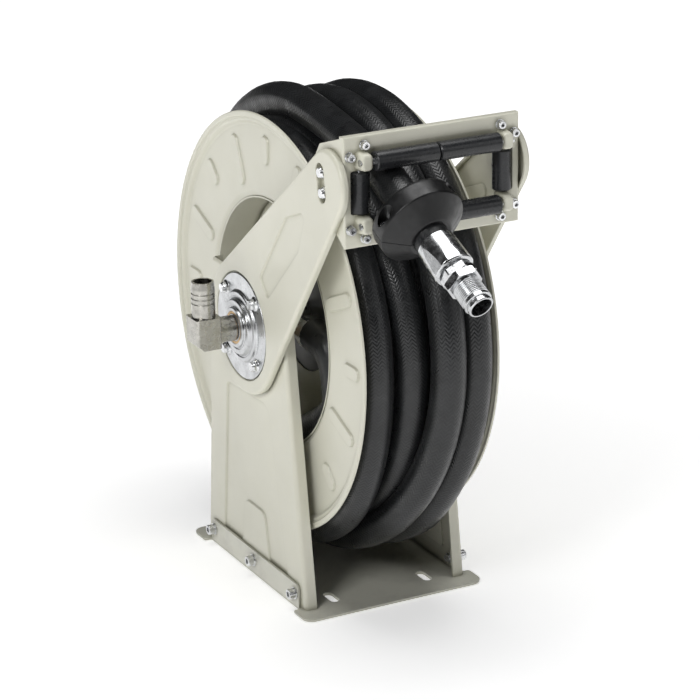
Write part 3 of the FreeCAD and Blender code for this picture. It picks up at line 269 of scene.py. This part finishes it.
def wrapped_hose(name, length, phase):
    """Black rubber cured in a cloth wrap: herringbone weave, wrap lines, dull streaks and dust."""
    weave_height, lap_height, dent_height = 0.0003, 0.0006, 0.002
    made = Shader(name, HOSE_COLOUR, 0.4, Specular_IOR_Level=0.5, Sheen_Weight=0.02,
                  Sheen_Roughness=0.4)
    uv = made.node("TexCoord").outputs["UV"]
    parts = made.node("SeparateXYZ", Vector=uv)
    along = made.times(parts.outputs[0], length)
    around = parts.outputs[1]
    zigzag = made.math("PINGPONG", made.times(around, WEAVE_COLUMNS), 0.5)
    rows = made.times(along, FULL_TURN / WEAVE_PITCH)
    weave = made.math("SINE", made.math("ADD", rows, made.times(zigzag, 2 * WEAVE_SLANT)))
    turn = made.math("ADD", made.times(around, FULL_TURN),
                     made.times(along, FULL_TURN / LAP_PITCH))
    lap = made.ramp(made.math("SINE", made.math("ADD", turn, phase)), 0.985, 1.0)
    worn = made.ramp(made.noise(16.0), 0.35, 0.65, to_low=0.25)
    streak = made.ramp(made.noise(30.0, 5.0, roughness=0.6), 0.35, 0.72)
    tone = made.mix(streak, shade(HOSE_COLOUR, 0.65), shade(HOSE_COLOUR, 1.5, 0.002))
    strand = made.times(made.ramp(weave, 0.1, 0.9, to_high=0.6), worn)
    tone = made.mix(strand, tone, STRAND_COLOUR)
    tone = made.mix(made.times(lap, 0.12), tone, LAP_COLOUR)
    dusty = made.times(made.ramp(made.noise(240.0, 5.0), 0.62, 0.8), 0.14)
    tone = made.mix(dusty, tone, HOSE_DUST)
    made.feed("Base Color", tone)
    made.feed("Roughness", made.ramp(made.noise(70.0, 4.0), 0.3, 0.7, 0.26, 0.42))
    made.bump(weave, weave_height, 0.32)
    made.bump(lap, lap_height, 0.18)
    made.bump(made.noise(26.0, 2.0), dent_height, 0.18)
    return made.material


COAT = powder_coat("ivory_powder_coat", (0.675, 0.665, 0.56))
DUSTY_COAT = powder_coat("dusty_powder_coat", (0.655, 0.65, 0.565), dust=0.35)
BLACK_COAT = powder_coat("black_powder_coat", (0.022, 0.022, 0.023))
ZINC = plated("zinc_plate", (0.80, 0.81, 0.82), 0.24, 700.0)
TURNED = plated("turned_zinc", (0.60, 0.61, 0.62), 0.27, 420.0, streak=(1, 0.12, 0.12))
NICKEL = plated("forged_nickel", (0.45, 0.44, 0.405), 0.24, 300.0, pits=0.10)
CHROME = plated("bright_plate", (0.62, 0.63, 0.64), 0.2, 600.0)
BLUED = plated("blued_spring", (0.24, 0.26, 0.30), 0.34, 500.0, streak=(0.2, 1, 1))
STEEL = plated("turned_steel", (0.56, 0.57, 0.58), 0.28, 600.0, streak=(1, 0.2, 0.2))
BRONZE = plated("sintered_bronze", (0.58, 0.40, 0.21), 0.38, 900.0, pits=0.1)
PLASTIC = moulded("black_plastic", (0.022, 0.023, 0.025), 0.28)
RUBBER = moulded("black_rubber", (0.0055, 0.0056, 0.006), 0.38)
SEAL = moulded("black_seal", (0.012, 0.012, 0.012), 0.5)

# The nodes that are not listed are in PLASTIC: the guide rollers, and the hose that the cords hide.
NODE_MATERIALS = [
    (("base_plate",), DUSTY_COAT),
    (("left_pedestal", "right_pedestal", "left_arm", "right_arm", "guide_box", "drum_core",
      "drum_web", "left_flange", "right_flange"), COAT),
    (("spring_case", "spring_case_cover"), BLACK_COAT),
    (("left_hub_flange", "right_hub_flange"), TURNED),
    (("base_bolts", "base_nuts", "hub_bolts", "hub_nuts", "arm_tip_bolts", "arm_tip_nuts",
      "guide_bolts", "guide_nuts", "corner_clamps", "roller_pins", "pawl_pivot", "pawl",
      "ratchet_wheel", "stop_bolts"), ZINC),
    (("inlet_elbow",), NICKEL),
    (("hose_ferrule", "hose_insert", "outlet_nipple", "feed_fitting"), CHROME),
    (("mainspring", "pawl_spring"), BLUED),
    (("drum_axle", "spring_arbor"), STEEL),
    (("left_bearing", "right_bearing"), BRONZE),
    (("inlet_seals",), SEAL),
    (("stop_upper_half", "stop_lower_half"), RUBBER),
]


def dress_frame():
    """Gives every carried-over node its procedural material."""
    chosen = {node: made for nodes, made in NODE_MATERIALS for node in nodes}
    for name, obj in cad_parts.items():
        made = chosen.get(name, PLASTIC)
        for slot in obj.material_slots:
            slot.link = "OBJECT"
            slot.material = made


# ---- hose ------------------------------------------------------------------------------------

HOSE_RADIUS = 0.021
HOSE_WOUND = 15.0       # metres on the drum
HOSE_LEG = 0.41         # metres from the drum's top to the ferrule
POINTS_A_TURN = 16
# A smooth spline cuts inside the corners of its control points by this factor.
SPLINE_SHRINK = math.cos(math.pi / POINTS_A_TURN)

# The wound hose: turn number, counted inwards from the top, where the hose leaves; place along
# the axle; distance from it, in millimetres. A whole turn is at the top, and the quarters after
# it are at the back, the bottom and the front.
WINDING = [
    (0.00, -33, 265), (0.25, -30, 262), (0.50, -22, 275), (0.75, 18, 264),
    (1.00, 20, 255), (1.25, 24, 258), (1.50, 29, 280), (1.75, 59, 251),
    (2.00, 60, 256), (2.25, 62, 262), (2.50, 66, 284), (2.75, 59, 208),
    (3.00, 56, 224), (3.25, 52, 228), (3.50, 46, 238), (3.75, 18, 206),
    (4.00, 8, 222), (4.25, 0, 226), (4.50, -8, 240), (4.75, -12, 229),
    (5.00, -42, 226), (5.25, -46, 232), (5.50, -56, 262), (5.75, -59, 227),
    (6.00, -58, 222), (6.25, -56, 208), (6.50, -50, 203), (6.75, -38, 192),
    (7.25, -12, 198), (7.75, 22, 196), (8.25, 50, 200), (8.50, 57, 192),
    (8.75, 56, 176), (9.25, 30, 175), (9.75, -2, 175), (10.25, -38, 175), (10.55, -57, 175),
]
# From the innermost turn to the feed fitting, in millimetres from the axle's middle.
FEED = [(-58, -136, -84), (-58, -134, -45), (-58, -124, -14), (-58, -104, -1), (-58, -73, 0)]
# From the coil's top through the guide and the stop into the ferrule, in millimetres. It starts
# 1 mm behind the point where the wound hose starts, so the two meet.
LEG = [
    (-33, 1, 594), (-37, -50, 593), (-42, -100, 589.5), (-46.5, -150, 585),
    (-49.5, -195, 579), (-51.5, -232, 571.5), (-52.8, -266, 559.8), (-51.7, -299.5, 542.4),
    (-49, -332.6, 523.9), (-47.6, -350, 514.1), (-45, -382.2, 496),
]


def between(column, turn):
    """Smooth value of one column of WINDING at a turn number."""
    for (t0, *a), (t1, *b) in zip(WINDING, WINDING[1:]):
        if turn <= t1:
            share = (turn - t0) / (t1 - t0)
            share = share * share * (3 - 2 * share)
            return a[column] + (b[column] - a[column]) * share


def winding_points():
    """The wound hose's control points: its outer end, the turns, then the feed."""
    points = [(WINDING[0][1], 0, WINDING[0][2])]
    for step in range(int(WINDING[-1][0] * POINTS_A_TURN)):
        turn = (step + 0.5) / POINTS_A_TURN
        reach = between(1, turn) / SPLINE_SHRINK
        angle = FULL_TURN * turn
        points.append((between(0, turn), reach * math.sin(angle), reach * math.cos(angle)))
    points += FEED
    return [(x * MM, y * MM, z * MM + AXLE) for x, y, z in points]


def hose(name, points, material):
    curve = bpy.data.curves.new(name, "CURVE")
    curve.dimensions = "3D"
    spline = curve.splines.new("NURBS")
    spline.points.add(len(points) - 1)
    for point, place in zip(spline.points, points):
        point.co = (*place, 1)
    spline.order_u = 3
    spline.use_endpoint_u = True
    spline.resolution_u = 6
    curve.bevel_depth = HOSE_RADIUS
    curve.bevel_resolution = 8
    curve.use_fill_caps = True
    curve.materials.append(material)
    obj = bpy.data.objects.new(name, curve)
    bpy.context.collection.objects.link(obj)
    return obj


def add_hoses():
    """The one hose as two cords: the coil turns with the drum, and the rest stays still."""
    points = winding_points()
    wound = hose("wound_hose", points, wrapped_hose("hose_cover_wound", HOSE_WOUND, 0.0))
    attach(wound, "drum")
    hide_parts("hose_winding", "feed_hose")
    points = [(x * MM, y * MM, z * MM) for x, y, z in LEG]
    leg = hose("outlet_hose", points, wrapped_hose("hose_cover_leg", HOSE_LEG, 1.0))
    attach(leg, "frame")
    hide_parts("hose_leg")


# ---- studio ----------------------------------------------------------------------------------

FLOOR_HALF = 9          # metres
FLOOR_DROP = 0.0005     # below the base plate, so the two don't share a plane
PAPER = (0.93, 0.93, 0.93)
SHADE_ENDS = 0.35, 1.6  # the floor's own glow grows between these distances, in metres
FLOOR_GLOW = 0.45, 1.0
SKY_ENDS = 0.0, 0.75    # the studio's glow grows between these heights of the view direction
SKY_GLOW = 0.18, 0.62


def add_floor():
    half = FLOOR_HALF
    mesh = bpy.data.meshes.new("floor")
    corners = [(-half, -half, 0), (half, -half, 0), (half, half, 0), (-half, half, 0)]
    mesh.from_pydata(corners, [], [(0, 1, 2, 3)])
    obj = bpy.data.objects.new("floor", mesh)
    made = Shader("floor_paper", PAPER, 0.7, Emission_Color=(1, 1, 1, 1))
    reach = made.node("VectorMath", {"operation": "LENGTH"}, i0=made.where).outputs["Value"]
    made.feed("Emission Strength", made.ramp(reach, *SHADE_ENDS, *FLOOR_GLOW))
    made.feed("Base Color", made.mix(made.noise(3.0), (0.92, 0.92, 0.92), (0.94, 0.94, 0.94)))
    mesh.materials.append(made.material)
    bpy.context.collection.objects.link(obj)
    obj.location.z = -FLOOR_DROP


def add_light():
    world = bpy.data.worlds.new("studio")
    bpy.context.scene.world = world
    world.use_nodes = True
    tree = world.node_tree
    height = tree.nodes.new("ShaderNodeSeparateXYZ")
    tree.links.new(tree.nodes.new("ShaderNodeTexCoord").outputs["Generated"], height.inputs[0])
    glow = tree.nodes.new("ShaderNodeMapRange")
    for index, value in enumerate(SKY_ENDS + SKY_GLOW, start=1):
        glow.inputs[index].default_value = value
    tree.links.new(height.outputs["Z"], glow.inputs[0])
    tree.links.new(glow.outputs[0], tree.nodes["Background"].inputs[1])
    for lamp in LAMPS:
        add_lamp(*lamp)
    bpy.context.scene.view_settings.view_transform = "Standard"


add_camera()
add_hoses()
dress_frame()
add_floor()
add_light()
